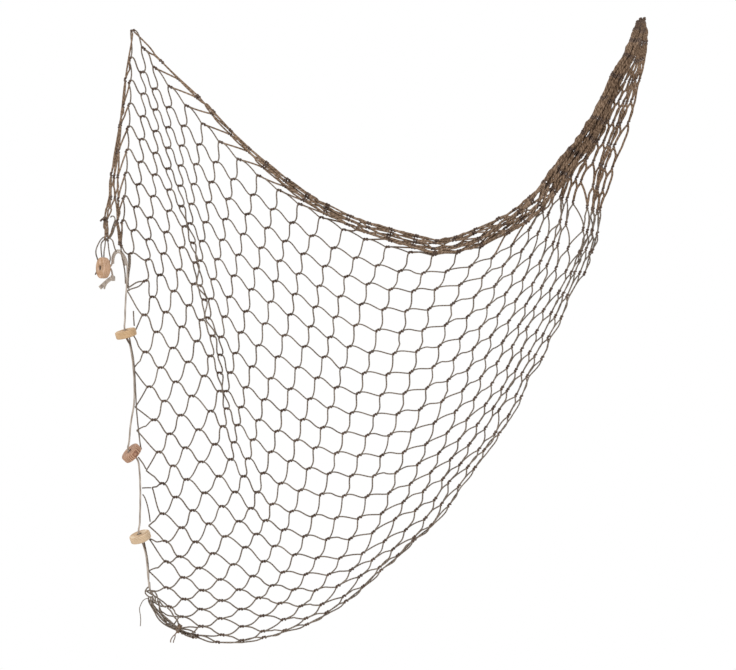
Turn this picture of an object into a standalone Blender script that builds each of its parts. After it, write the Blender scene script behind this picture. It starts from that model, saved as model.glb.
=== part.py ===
"""A decorative fishing net, hung from two points on a wall.

Twine netting, gathered into a swag between the two hanging points, with a float line and
four wooden floats down its left edge and a lashed corner at the foot.
Metres, +Z up. The origin is the twine loop at the left hanging point; +X runs to the right
along the wall, and -Y comes off the wall.
"""
import math

import bmesh
import bpy
import numpy as np
from mathutils import Vector, noise

MM = 0.001
WELD = 0.01 * MM            # points closer than this become one
CURVE_STEPS = 12            # steps between two rows of a smoothed route

# The netting
MESH_BAR = 50 * MM          # knot to knot on the real net
PITCH = 1.5                 # one modelled mesh stands for 1.5 real ones each way
FIRST_DOWN = -1.0           # the first modelled line lies inside the swag
WALL_OFFSET = 6 * MM        # from the loop at the origin back to the wall
TWINE = 3.0 * MM            # across a modelled strand
FLOAT_EDGE = 7              # last column of meshes on the float side
FOOT_EDGE = 26              # last row of meshes at the foot
HANGING_EDGE = 17           # last column of open meshes below the right hanging point
SLACK = 5 * MM              # how far the slackest bar sags off its straight line
SLACK_GAIN = 4              # a bar with a quarter of its length spare sags that far
CHART_COLUMNS = 24          # the chart that the open meshes are picked from
CHART_ROWS = 20

# The float line and its floats
LINE_RADIUS = 2.0 * MM
LINE_END_SWELL = 1.05       # the free end has begun to untwist
FLOAT_BORE = 2.45 * MM
FLOAT_RADIUS = 22 * MM
FLOAT_THICKNESS = 15 * MM
FLOAT_ROUNDING = 3 * MM
ROUNDING_STEPS = 3
FLOAT_SEGMENTS = 28

# The lashing round the gathered corner
LASHING_TWINE = 1.4 * MM
LASHING_GAP = 0.35 * MM
LASHING_SPREAD = 70         # degrees each side of the front that its turn goes round
KNOT_RADIUS = 4.4 * MM
KNOT_FLATNESS = 0.8
KNOT_WIDTH = 1.2
LASHING_STEPS = 16
CORNER_STATIONS = 9         # the lashing goes round the corner's gather
LASHING_STATION = 6         # at this one of its stations

# How the net hangs: for each line of the net counted across from the left hanging point,
# the knots where its height changes.
# Columns: knots down, mm right of the origin, mm up, mm off the wall.
HANG = {
    -1.5: [(2, -16, -125, 9), (3.5, -25, -198, 10), (5, -37, -261, 13), (6.5, -48, -335, 17)],
    0: [(-1, 5, -6, 8), (0.5, -1, -32, 7), (4, -10, -205, 9), (8, -21, -402, 16)],
    2: [(-1, 53, -62, 9), (2, 51, -167, 8), (6, 45, -346, 13), (10, 27, -526, 18)],
    4: [(-1, 122, -139, 10), (1, 105, -200, 7), (4, 99, -325, 10), (6, 110, -412, 22),
        (8, 96, -502, 16), (12, 28, -675, 19)],
    6: [(-1, 194, -213, 11), (1, 172, -276, 8), (4, 152, -403, 9), (8, 151, -565, 24),
        (11, 117, -695, 18), (14, 42, -816, 20)],
    8: [(0, 265, -306, 10), (4, 221, -471, 8), (8, 185, -643, 14), (10, 187, -717, 24),
        (12, 164, -798, 18), (16, 63, -950, 20)],
    10: [(-1, 346, -338, 13), (2, 319, -446, 8), (6, 276, -616, 7), (11, 218, -828, 18),
         (13, 207, -899, 20), (18, 72, -1068, 18)],
    12: [(-1, 437, -395, 14), (4, 383, -581, 7), (8, 331, -753, 7), (12, 274, -928, 12),
         (16, 194, -1062, 14), (20, 72, -1169, 16)],
    15: [(-1, 576, -446, 15), (22, 115, -1266, 13), (23, 88, -1252, 12)],
    16: [(1, 607, -507, 8), (4, 564, -633, 7), (8, 509, -808, 7), (12, 444, -977, 8),
         (16, 363, -1142, 9), (19, 273, -1229, 10), (22, 168, -1281, 12)],
    18: [(-1, 719, -442, 16), (20, 292, -1265, 10)],
    20: [(1, 796, -450, 9), (4, 747, -578, 7), (8, 694, -755, 7), (12, 627, -927, 7),
         (16, 546, -1089, 9), (18, 483, -1168, 10)],
    21: [(-1, 868, -356, 18)],
    22: [(1, 861, -379, 11), (16, 628, -1042, 10)],
    22.5: [(-1, 914, -297, 18), (0.5, 889, -349, 13)],
    24: [(-1, 960, -225, 18), (0.5, 933, -297, 14), (2, 910, -356, 11), (4, 882, -445, 8),
         (8, 827, -624, 7), (12, 769, -797, 8), (14, 742, -881, 9)],
    25.5: [(-1, 981, -183, 17), (0.5, 975, -232, 15), (2, 945, -305, 12), (3.5, 929, -362, 10)],
    27: [(0.5, 997, -175, 15), (2, 987, -233, 13), (3.5, 958, -311, 11), (5, 948, -368, 9),
         (11, 858, -638, 9)],
    28: [(8, 941, -464, 8), (10, 914, -556, 9)],
    28.5: [(2, 1008, -173, 14), (3.5, 1000, -238, 12), (5, 973, -313, 11), (6.5, 965, -374, 10)],
    30: [(3.5, 1022, -172, 13), (5, 1015, -242, 12), (6.5, 988, -316, 11), (8, 983, -383, 10)],
    31.5: [(5, 1038, -173, 13), (6.5, 1032, -246, 12)],
}

# Where the outermost loops sit beside the float line, one for each column from the top down;
# the first is in the tail. Columns: mm right, mm up, mm off the wall.
EDGE_LOOPS = [
    (-55, -428, 23), (-19, -478, 19.2), (-10, -556, 19.2), (-2, -678, 19.2), (4, -765, 19.2),
    (2, -815, 19.2), (17, -945, 19.2), (18, -1005, 19.2), (32, -1105, 19.2), (37, -1160, 19),
]

# The gathered parts, each a bunch of strands that hang close together.
# Columns: mm right, mm up, mm off the wall, mm wide, mm deep.
SWAG = [
    (0, 1, 6, 6, 5), (34, -35, 8, 8, 6), (90, -97, 9, 9, 7), (161, -167, 11, 10, 9),
    (233, -242, 13, 15, 13), (306, -309, 15, 21, 17), (391, -368, 16, 24, 20),
    (479, -409, 17, 26, 24), (575, -438, 18, 31, 26), (614, -451, 18, 32, 27),
    (647, -455, 19, 34, 28), (680, -449, 20, 38, 29), (711, -440, 20, 40, 30),
    (791, -403, 21, 42, 32), (846, -362, 21, 41, 32), (890, -308, 21, 38, 32),
    (930, -252, 20, 33, 30), (960, -214, 20, 33, 28), (984, -170, 19, 29, 26),
    (1002, -130, 18, 27, 24), (1020, -90, 17, 27, 24), (1041, -55, 16, 25, 22),
    (1055, -18, 14, 22, 20), (1064, 10, 11, 18, 14), (1067, 22, 8, 9, 8),
]
COLUMN_TOP = [
    (1063, 8, 12, 8, 8), (1069, -6, 13, 17, 14), (1068, -30, 14, 26, 18), (1059, -64, 15, 34, 19),
    (1044, -100, 14, 38, 18), (1029, -138, 14, 44, 14), (1018, -178, 14, 52, 9),
]
LEFT_TAIL = [
    (6, -7, 7, 4, 3), (-3, -13, 7, 6, 5), (-8, -48, 8, 7, 6), (-15, -108, 10, 8, 7),
    (-24, -180, 12, 10, 8), (-37, -256, 15, 13, 9), (-45, -330, 19, 13, 10),
    (-52, -400, 22, 11, 10), (-56, -436, 24, 8, 8),
]
CORNER = [
    (36, -1192, 16, 13, 8), (52, -1214, 16, 16, 10), (72, -1236, 15, 15, 11),
    (90, -1251, 14, 10, 9), (101, -1257, 14, 8, 8),
]
RIDGES = 5                  # strands that stand out round a gathered part
RIDGE_HEIGHT = 0.10
LUMPS = 0.12                # how much a bunch swells and thins along its way
LUMP_LENGTH = 35            # mm from one swelling to the next
LUMP_GIRTH = 40             # the same across the strands
TWIST_TURNS = 1.6

# The float line's route, in stretches between the floats.
# Columns: mm right, mm up, mm off the wall.
LINE_STRETCHES = [
    [(-57, -444, 25), (-62, -452, 33), (-70, -466, 43), (-80, -482, 46)],
    [(-33, -490, 15), (-33, -477, 19), (-35, -464, 23), (-29, -457, 24), (-20, -464, 24),
     (-14, -482, 24), (-10, -514, 23.5), (-12, -570, 23)],
    [(0, -682, 23.2), (6, -730, 23.2), (5, -780, 23.2), (-4, -825, 23)],
    [(18, -935, 23.2), (19, -975, 23.2)],
    [(31, -1105, 23.2), (35, -1150, 24), (41, -1184, 27), (56, -1206, 29), (68, -1221, 29)],
]
LINE_SPACING = 17 * MM
LINE_END = [(-44, -498, 19), (-38, -510, 20), (-42, -522, 22), (-54, -531, 24), (-66, -540, 25)]

# Floats. Columns: name, mm right, mm up, mm off the wall, then the way the bore runs:
# degrees from straight down towards the right, degrees it turns off the wall.
FLOATS = [
    ("float_1", -59, -499, 27, 90, -22),
    ("float_2", -12, -636, 23.5, 14, -10),
    ("float_3", 0, -886, 24, 43, -22),
    ("float_4", 18, -1061, 23.5, 17, -14),
]
BORE_REACH = 12 * MM        # the line runs straight this far each side of a float's middle
BORE_LEAD = 17 * MM         # and bends only past here

# Loose ends of twine that hang out of the corner. Columns: mm right, mm up, mm off the wall.
LOOSE_END = [(48, -1206, 18), (37, -1196, 23), (26, -1192, 24), (19, -1203, 23), (17, -1226, 20),
             (17, -1249, 18)]
LASHING_TAILS = [[(89, -1258, 30), (85, -1268, 26), (80, -1281, 21)],
                 [(94, -1260, 29), (92, -1271, 24), (88, -1283, 18)]]


def place(right, up, off_wall):
    """A point given in millimetres right, up and off the wall."""
    return Vector((right * MM, WALL_OFFSET - off_wall * MM, up * MM))


def thin_plate(points, values):
    """A smooth surface through scattered guide points, bent as little as it can be."""
    points = np.array(points, float)
    count = len(points)

    def bend(distance):
        return distance ** 2 * np.log(np.maximum(distance, 1e-9))

    apart = np.linalg.norm(points[:, None] - points[None], axis=2)
    flat = np.c_[np.ones(count), points]
    system = np.block([[bend(apart), flat], [flat.T, np.zeros((3, 3))]])
    weights = np.linalg.solve(system, np.r_[np.array(values, float), np.zeros((3, 3))])

    def surface(spot):
        distance = np.linalg.norm(points - np.array(spot, float), axis=1)
        return np.r_[bend(distance), 1.0, spot] @ weights

    return surface


def hanging_net():
    """The surface of the hung net: knots across and down to millimetres."""
    rows = [(across, *row) for across, line in HANG.items() for row in line]
    return thin_plate([row[:2] for row in rows], [row[2:] for row in rows])


def smooth_rows(rows, count):
    """Rows spread evenly by length along a smooth curve through the given rows."""
    rows = [np.array(row, float) for row in rows]
    ends = [2 * rows[0] - rows[1]] + rows + [2 * rows[-1] - rows[-2]]
    fine = []
    for before, start, end, after in zip(ends, ends[1:], ends[2:], ends[3:]):
        for step in range(CURVE_STEPS):
            t = step / CURVE_STEPS
            fine.append(0.5 * (2 * start + (end - before) * t
                               + (2 * before - 5 * start + 4 * end - after) * t ** 2
                               + (3 * start - before - 3 * end + after) * t ** 3))
    fine.append(rows[-1])
    fine = np.array(fine)
    run = np.r_[0, np.cumsum(np.linalg.norm(np.diff(fine[:, :3], axis=0), axis=1))]
    wanted = np.linspace(0, run[-1], count)
    return np.array([np.interp(wanted, run, column) for column in fine.T]).T


def new_object(name, mesh, collection, material=None):
    """Link a mesh or curve as an object."""
    obj = bpy.data.objects.new(name, mesh)
    collection.objects.link(obj)
    if material:
        mesh.materials.append(material)
    return obj


def from_bmesh(name, bm, collection, material=None):
    """Close a bmesh into an object with its faces pointing out."""
    bmesh.ops.recalc_face_normals(bm, faces=bm.faces)
    mesh = bpy.data.meshes.new(name)
    bm.to_mesh(mesh)
    bm.free()
    return new_object(name, mesh, collection, material)


def plain_material(name, colour, roughness):
    """A Principled material of one colour."""
    material = bpy.data.materials.new(name)
    material.use_nodes = True
    shader = material.node_tree.nodes["Principled BSDF"]
    shader.inputs["Base Color"].default_value = (*colour, 1)
    shader.inputs["Roughness"].default_value = roughness
    shader.inputs["Metallic"].default_value = 0
    return material


def as_tool(obj):
    """Keep a shape that only joins or cuts another out of the finished model."""
    obj.hide_render = True
    obj.display_type = 'WIRE'
    return obj


def tube(name, points, radius, collection, material=None, resolution=2):
    """A round strand along the points, made a closed mesh."""
    curve = bpy.data.curves.new(name, 'CURVE')
    curve.dimensions = '3D'
    curve.bevel_depth = radius
    curve.bevel_resolution = resolution
    curve.use_fill_caps = True
    spline = curve.splines.new('POLY')
    spline.points.add(len(points) - 1)
    for spot, point in zip(spline.points, points):
        spot.co = (*point, 1)
    strand = new_object(name + "_curve", curve, collection)
    evaluated = strand.evaluated_get(bpy.context.evaluated_depsgraph_get())
    mesh = bpy.data.meshes.new_from_object(evaluated)
    mesh.name = name
    bm = bmesh.new()
    bm.from_mesh(mesh)
    bmesh.ops.remove_doubles(bm, verts=bm.verts, dist=WELD)
    bmesh.ops.recalc_face_normals(bm, faces=bm.faces)
    bm.to_mesh(mesh)
    bm.free()
    solid = new_object(name, mesh, collection, material)
    solid.matrix_world = strand.matrix_world
    bpy.data.objects.remove(strand)
    return solid


def gathered(name, rows, collection, rings, sides):
    """A bunch of close strands: a tube whose rings follow the rows, ridged and twisting."""
    bm = bmesh.new()
    bmesh.ops.create_cone(bm, cap_ends=True, segments=sides, radius1=1, radius2=1, depth=1)
    upright = [edge for edge in bm.edges if abs(edge.verts[0].co.z - edge.verts[1].co.z) > 0.5]
    bmesh.ops.subdivide_edges(bm, edges=upright, cuts=rings - 2)
    stations = smooth_rows(rows, rings)
    for vert in bm.verts:
        ring = round((vert.co.z + 0.5) * (rings - 1))
        station = stations[ring]
        ahead = stations[min(ring + 1, rings - 1)][:3] - stations[max(ring - 1, 0)][:3]
        along = Vector((ahead[0], 0, ahead[1])).normalized()
        across = Vector((-along.z, 0, along.x))
        angle = math.atan2(vert.co.y, vert.co.x)
        ridge = 1 + RIDGE_HEIGHT * math.cos(RIDGES * angle + math.tau * TWIST_TURNS * ring / rings)
        lump = 1 + LUMPS * noise.noise(Vector((station[0], station[1], LUMP_GIRTH * angle)) / LUMP_LENGTH)
        reach = 0.5 * ridge * lump * MM
        vert.co = (place(*station[:3]) + across * (math.cos(angle) * station[3] * reach)
                   + Vector((0, math.sin(angle) * station[4] * reach, 0)))
    return as_tool(from_bmesh(name, bm, collection))


def net_sheet(collection, material):
    """The open meshes as a sheet of cells, hung in place; each edge becomes a strand."""
    bm = bmesh.new()
    bmesh.ops.create_grid(bm, x_segments=CHART_COLUMNS, y_segments=CHART_ROWS, size=0.5)
    for vert in bm.verts:
        vert.co.x = round((vert.co.x + 0.5) * CHART_COLUMNS) - 1
        vert.co.y = round((vert.co.y + 0.5) * CHART_ROWS)
    outside = [face for face in bm.faces if not open_mesh(face)]
    bmesh.ops.delete(bm, geom=outside, context='FACES')
    bmesh.ops.bisect_edges(bm, edges=bm.edges, cuts=1)
    surface = hanging_net()
    for vert in bm.verts:
        column, row = vert.co.xy
        is_knot = column == int(column) and row == int(row)
        vert.co = knot(surface, column, row) if is_knot else bar_middle(surface, column, row)
    netting = from_bmesh("netting", bm, collection, material)
    strands = netting.modifiers.new("strands", 'WIREFRAME')
    strands.thickness = TWINE
    strands.use_even_offset = True
    strands.use_boundary = True
    return netting


def open_mesh(face):
    """Whether a cell of the chart is one of the net's open meshes."""
    column = min(vert.co.x for vert in face.verts)
    row = min(vert.co.y for vert in face.verts)
    below_top_edge = PITCH * column + FIRST_DOWN + PITCH * row >= 0 or column == 0
    from_float_edge = FLOAT_EDGE - (row + 1 - column)
    from_foot = FOOT_EDGE - (row + column + 2)
    from_hanging_point = HANGING_EDGE - (column + 1 - row)
    in_corner = from_float_edge == 0 and from_foot == 0
    return (below_top_edge and min(from_float_edge, from_foot, from_hanging_point) >= 0
            and not in_corner)


def knot(surface, column, row):
    """Where a knot of the chart hangs."""
    if row - column == FLOAT_EDGE:
        return place(*EDGE_LOOPS[int(column) + 1])
    return place(*surface((PITCH * column, FIRST_DOWN + PITCH * row)))


def bar_middle(surface, column, row):
    """Where the middle of a bar hangs: a slack one sags off its straight line."""
    across = column != int(column)
    half = (0.5, 0) if across else (0, 0.5)
    start = knot(surface, column - half[0], row - half[1])
    end = knot(surface, column + half[0], row + half[1])
    spare = 1 - (end - start).length / (PITCH * MESH_BAR)
    sag = SLACK * max(0.0, min(1.0, SLACK_GAIN * spare))
    return (start + end) / 2 + (Vector((0, 0, sag)) if across else Vector((-sag, 0, 0)))


def join_into(target, pieces):
    """Fuse the pieces into the target."""
    for piece in pieces:
        union = target.modifiers.new("join " + piece.name, 'BOOLEAN')
        union.operation = 'UNION'
        union.solver = 'EXACT'
        union.object = piece


def bore_direction(to_right, off_wall):
    """The way a float's bore runs, from degrees right of straight down and off the wall."""
    right = math.radians(to_right)
    out = math.radians(off_wall)
    return Vector((math.sin(right) * math.cos(out), -math.sin(out), -math.cos(right) * math.cos(out)))


def turned_float(name, centre, direction, collection, material):
    """A wooden float: a turned disc with rounded rims and a bore for the line."""
    half = FLOAT_THICKNESS / 2
    bm = bmesh.new()
    outline = [(FLOAT_BORE, half)]
    for corner, start in ((half - FLOAT_ROUNDING, 90), (-half + FLOAT_ROUNDING, 0)):
        for step in range(ROUNDING_STEPS + 1):
            angle = math.radians(start - 90 * step / ROUNDING_STEPS)
            outline.append((FLOAT_RADIUS - FLOAT_ROUNDING + FLOAT_ROUNDING * math.cos(angle),
                            corner + FLOAT_ROUNDING * math.sin(angle)))
    outline += [(FLOAT_BORE, -half)]
    verts = [bm.verts.new((radius, 0, height)) for radius, height in outline]
    for start, end in zip(verts, verts[1:] + verts[:1]):
        bm.edges.new((start, end))
    mesh = bpy.data.meshes.new(name)
    bm.to_mesh(mesh)
    bm.free()
    disc = new_object(name, mesh, collection, material)
    turn = disc.modifiers.new("turned", 'SCREW')
    turn.steps = FLOAT_SEGMENTS
    turn.render_steps = FLOAT_SEGMENTS
    turn.use_merge_vertices = True
    turn.merge_threshold = WELD
    disc.rotation_mode = 'QUATERNION'
    disc.rotation_quaternion = direction.to_track_quat('Z', 'Y')
    disc.location = centre
    return disc


def mouths(row):
    """Points on a float's axis: the line runs straight between the middle two."""
    _, right, up, off_wall, to_right, turned = row
    direction = bore_direction(to_right, turned) / MM
    along = np.array([direction.x, direction.z, -direction.y])
    middle = np.array([right, up, off_wall], float)
    return [middle + along * reach for reach in (-BORE_LEAD, -BORE_REACH, BORE_REACH, BORE_LEAD)]


def line_route():
    """The float line from the tail, through the four floats, to the corner."""
    route = []
    for number, stretch in enumerate(LINE_STRETCHES):
        rows = [np.array(row, float) for row in stretch]
        if number > 0:
            rows = mouths(FLOATS[number - 1])[2:] + rows
        if number < len(FLOATS):
            rows += mouths(FLOATS[number])[:2]
        length = sum(np.linalg.norm(after - before) for before, after in zip(rows, rows[1:]))
        route += list(smooth_rows(rows, round(length * MM / LINE_SPACING)))
    return [place(*row) for row in route]


def lashing(collection, tools, material):
    """Twine bound over the gathered corner: a turn, a knot in front and two free ends."""
    station = smooth_rows(CORNER, CORNER_STATIONS)[LASHING_STATION]
    right, up, off_wall, wide, deep = (float(value) for value in station)
    along = place(*CORNER[-1][:3]) - place(*CORNER[-3][:3])
    across = Vector((-along.z, 0, along.x)).normalized()
    front = Vector((0, -1, 0))
    proud = 0.5 * (1 + RIDGE_HEIGHT) * MM
    to_side = wide * proud + LASHING_GAP + LASHING_TWINE
    to_front = deep * proud + LASHING_GAP + LASHING_TWINE
    middle = place(right, up, off_wall)
    angles = [math.radians(LASHING_SPREAD * (2 * step / LASHING_STEPS - 1))
              for step in range(LASHING_STEPS + 1)]
    bound = [middle + to_side * math.sin(angle) * across + to_front * math.cos(angle) * front
             for angle in angles]
    over = tube("corner_lashing", bound, LASHING_TWINE, collection, material)
    knot_at = middle + (to_front + KNOT_RADIUS * KNOT_FLATNESS) * front
    bm = bmesh.new()
    bmesh.ops.create_icosphere(bm, subdivisions=2, radius=KNOT_RADIUS)
    bmesh.ops.scale(bm, verts=bm.verts, vec=(KNOT_WIDTH, KNOT_FLATNESS, 1.0))
    bmesh.ops.translate(bm, verts=bm.verts, vec=knot_at)
    pieces = [as_tool(from_bmesh("lashing_knot", bm, tools))]
    for number, rows in enumerate(LASHING_TAILS, 1):
        points = [knot_at] + [place(*row) for row in smooth_rows(rows, count=6)]
        pieces.append(as_tool(tube(f"lashing_tail_{number}", points, LASHING_TWINE, tools)))
    join_into(over, pieces)


def build():
    """Make every piece of the net."""
    for obj in list(bpy.data.objects):
        bpy.data.objects.remove(obj)
    finished = bpy.data.collections.new("fishing_net")
    tools = bpy.data.collections.new("joining_shapes")
    for collection in (finished, tools):
        bpy.context.scene.collection.children.link(collection)

    twine = plain_material("brown_twine", (0.195, 0.138, 0.098), 0.9)
    cord = plain_material("beige_line", (0.37, 0.30, 0.22), 0.85)
    pale_wood = plain_material("pale_wood", (0.68, 0.47, 0.26), 0.6)
    brown_wood = plain_material("brown_wood", (0.40, 0.19, 0.107), 0.6)

    netting = net_sheet(finished, twine)
    loose = [place(*row) for row in smooth_rows(LOOSE_END, count=14)]
    join_into(netting, [
        gathered("swag", SWAG, tools, rings=62, sides=12),
        gathered("column_top", COLUMN_TOP, tools, rings=10, sides=12),
        gathered("left_tail", LEFT_TAIL, tools, rings=16, sides=8),
        gathered("corner_gather", CORNER, tools, rings=8, sides=10),
        as_tool(tube("loose_end", loose, TWINE / 2, tools, resolution=1)),
    ])

    line = tube("float_line", line_route(), LINE_RADIUS, finished, cord)
    free_end = [place(*row) for row in smooth_rows(LINE_END, count=12)]
    thick_end = tube("line_free_end", free_end, LINE_RADIUS * LINE_END_SWELL, tools)
    join_into(line, [as_tool(thick_end)])

    for name, right, up, off_wall, to_right, turned in FLOATS:
        wood = brown_wood if name == "float_3" else pale_wood
        turned_float(name, place(right, up, off_wall), bore_direction(to_right, turned), finished, wood)
    lashing(finished, tools, twine)


build()
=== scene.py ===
# %% [markdown]
# # A fishing net, hung on a wall
#
# The real object is one piece of knotted twine netting, hung from two points. Its top is gathered
# into a swag, its left edge runs down a float line with four wooden floats, and its foot corner
# is bound with twine. It is modelled knot by knot: first the knots' places, then the twine between
# them, then the line, the floats and the finishes.

# %% Load the frame
import math
import random

import bmesh
import bpy
import numpy as np
from mathutils import Matrix, Vector, noise


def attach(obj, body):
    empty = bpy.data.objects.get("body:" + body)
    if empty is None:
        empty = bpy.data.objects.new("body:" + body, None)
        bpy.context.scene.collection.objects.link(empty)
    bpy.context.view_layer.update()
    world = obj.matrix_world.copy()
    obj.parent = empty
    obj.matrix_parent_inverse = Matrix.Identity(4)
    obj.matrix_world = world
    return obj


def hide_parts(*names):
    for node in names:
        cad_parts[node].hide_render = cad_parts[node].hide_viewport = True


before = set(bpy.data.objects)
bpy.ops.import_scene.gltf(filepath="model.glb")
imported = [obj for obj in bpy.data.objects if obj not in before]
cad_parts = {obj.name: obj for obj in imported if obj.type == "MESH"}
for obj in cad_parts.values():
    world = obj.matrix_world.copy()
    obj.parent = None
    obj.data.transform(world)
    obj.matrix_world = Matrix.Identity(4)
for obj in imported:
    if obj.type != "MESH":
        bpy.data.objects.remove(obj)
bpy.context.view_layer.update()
print("solids:", ", ".join(sorted(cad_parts)))

# %% [markdown]
# ## Units
#
# Lengths are in millimetres until they are placed. A few places were read from the photograph, in
# its pixels. One pixel is 2.1 mm, because a bar of the net, knot to knot, is 50 mm. The origin is
# the left hanging point, and the wall lies 6 mm behind it.

# %% Units and places
MM = 0.001
PIXEL = 2.1  # mm
LEFT_PEAK = (132.8, 30.7)  # photo pixels
WALL_BEHIND = 6  # mm from the hanging point back to the wall
BAR = 50  # mm of twine from knot to knot
draw = random.Random(11)


def from_photo(x, y):
    """Photo pixels to mm right of the left hanging point and mm up from it."""
    return (x - LEFT_PEAK[0]) * PIXEL, (LEFT_PEAK[1] - y) * PIXEL


def place(right, up, off_wall):
    """Millimetres right, up and off the wall to a point of the scene."""
    return Vector((right * MM, (WALL_BEHIND - off_wall) * MM, up * MM))


def add_object(name, data):
    """A new object, linked into the scene."""
    new = bpy.data.objects.new(name, data)
    bpy.context.scene.collection.objects.link(new)
    return new


# %% [markdown]
# ## Camera, floor and light
#
# The photograph looks straight at the wall from a few metres away, so the camera is level, with a
# long lens. The light is soft and comes from all round, a little stronger from the upper left.

# %% Camera
VIEW_CENTRE = (368, 335)  # photo pixels
VIEW_WIDTH = 736 * PIXEL * MM
LENS = 85
SENSOR = 36

camera_data = bpy.data.cameras.new("camera")
camera_data.lens = LENS
camera_data.sensor_width = SENSOR
camera = add_object("camera", camera_data)
bpy.context.scene.camera = camera
view_right, view_up = from_photo(*VIEW_CENTRE)
distance = VIEW_WIDTH * LENS / SENSOR
camera.location = (view_right * MM, -distance, view_up * MM)
camera.rotation_euler = (math.radians(90), 0, 0)

# %% [markdown]
# ## Where the knots hang
#
# The netting is a square lattice of knots that hangs cornerwise. A knot has two numbers: how many
# bars across from the left hanging point, and how many down. The places of about a fifth of the
# knots were read from the photograph. A thin-plate spline, the surface that a thin steel plate
# would take if it were pinned at those places, gives the others that hang free. That keeps the
# uneven hang of the real net with a short table.

# %% Knots read from the photograph
# Columns: bars across: [(bars down, photo x, photo y)]
KNOTS_READ = {
    0: [(0, 133, 31), (1, 130, 59), (4, 128, 128), (8, 123, 222), (9, 122, 246)],
    1: [(2, 143, 94), (9, 131, 254)],
    2: [(0, 155, 68), (7, 150, 218), (9, 148, 260), (10, 146, 281)],
    3: [(10, 153, 297), (11, 145, 315)],
    4: [(0, 187, 106), (4, 180, 186), (6, 185, 227), (7, 182, 248), (8, 179, 270), (12, 146, 352)],
    5: [(5, 190, 224), (7, 196, 263), (11, 173, 348)],
    6: [(6, 200, 261), (7, 200, 286), (8, 205, 300), (9, 202, 320)],
    7: [(2, 228, 199), (4, 222, 240), (7, 211, 299), (8, 208, 318), (9, 213, 336), (12, 192, 396),
        (13, 181, 415)],
    8: [(0, 259, 176), (4, 238, 255), (6, 229, 297), (8, 221, 337), (11, 220, 391), (12, 211, 411),
        (16, 163, 483)],
    9: [(2, 267, 228), (10, 226, 391), (15, 187, 479), (17, 163, 513)],
    10: [(5, 270, 302), (10, 241, 407), (12, 234, 442), (13, 231, 459), (17, 182, 527)],
    11: [(2, 303, 254), (15, 222, 506), (18, 180, 556), (19, 167, 561)],
    12: [(0, 344, 230), (4, 315, 307), (8, 290, 389), (12, 263, 473), (14, 251, 508),
         (16, 225, 536), (20, 167, 587)],
    13: [(6, 324, 357), (11, 290, 461), (13, 272, 504), (16, 245, 547), (18, 220, 579),
         (21, 170, 606)],
    14: [(2, 368, 284), (6, 342, 368), (10, 315, 448), (21, 182, 616)],
    15: [(14, 305, 536), (16, 283, 572)],
    16: [(0, 434, 255), (4, 401, 332), (8, 375, 415), (12, 344, 496), (16, 306, 574),
         (18, 280, 603), (20, 242, 626), (22, 207, 640)],
    17: [(2, 436, 289), (21, 242, 640)],
    18: [(0, 481, 247), (10, 404, 452), (13, 382, 513), (15, 363, 553), (18, 322, 604),
         (19, 306, 618), (20, 285, 630), (21, 264, 637)],
    19: [(14, 395, 519), (17, 360, 576), (19, 327, 612), (20, 307, 624)],
    20: [(1, 512, 245), (4, 488, 306), (8, 463, 390), (12, 431, 472), (16, 393, 549),
         (18, 363, 586)],
    21: [(3, 513, 272), (6, 491, 336), (14, 435, 499), (16, 414, 537), (17, 398, 555), (18, 381, 570)],
    22: [(1, 543, 211), (2, 538, 233), (14, 449, 482), (16, 431, 525), (17, 414, 540)],
    23: [(2, 548, 214), (4, 540, 262), (10, 502, 388), (13, 479, 449), (16, 449, 505)],
    24: [(3, 560, 221), (4, 553, 243), (8, 527, 328), (12, 499, 410), (13, 495, 433), (14, 484, 450)],
    25: [(3, 562, 199), (6, 556, 268), (12, 516, 395)],
    26: [(3, 571, 176), (6, 568, 248), (9, 551, 313), (12, 527, 376), (13, 521, 397)],
    27: [(3, 585, 158), (5, 573, 202), (6, 583, 229), (12, 542, 358)],
    28: [(2, 600, 122), (5, 581, 181), (8, 581, 252), (10, 567, 296)],
    29: [(3, 605, 123), (5, 593, 162), (8, 592, 232), (9, 586, 249)],
    30: [(2, 620, 80), (3, 614, 99), (8, 592, 209)],
    31: [(3, 625, 81), (5, 613, 122), (7, 602, 166), (10, 597, 234), (11, 592, 251)],
    32: [(2, 640, 43), (6, 617, 125), (10, 600, 209)],
    33: [(5, 632, 82), (8, 614, 146), (9, 612, 168)],
    34: [(2, 640, 21), (4, 643, 43), (8, 628, 123)],
    35: [(3, 642, 22), (7, 639, 80)],
    36: [(6, 646, 43)],
    37: [(5, 644, 22)],
}
# Columns: bars across: [(bars down, mm off the wall)]
OFF_WALL_READ = {
    0: [(0, 7), (4, 8), (8, 16)],
    2: [(2, 8), (6, 13), (10, 18)],
    4: [(1, 8), (4, 10), (6, 22), (8, 16), (12, 19)],
    6: [(1, 9), (4, 8), (8, 24), (11, 18), (14, 20)],
    8: [(0, 12), (4, 8), (8, 14), (10, 24), (12, 18), (16, 20)],
    10: [(2, 9), (6, 7), (11, 18), (13, 20), (18, 18)],
    12: [(0, 14), (4, 7), (8, 7), (12, 12), (16, 14), (20, 16)],
    16: [(0, 14), (2, 8), (8, 7), (16, 9), (22, 12)],
    20: [(1, 14), (3, 8), (8, 7), (18, 10)],
    24: [(3, 12), (8, 7), (14, 9)],
    28: [(2, 14), (5, 11), (8, 8), (10, 9)],
    32: [(2, 14), (6, 12)],
}


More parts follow.
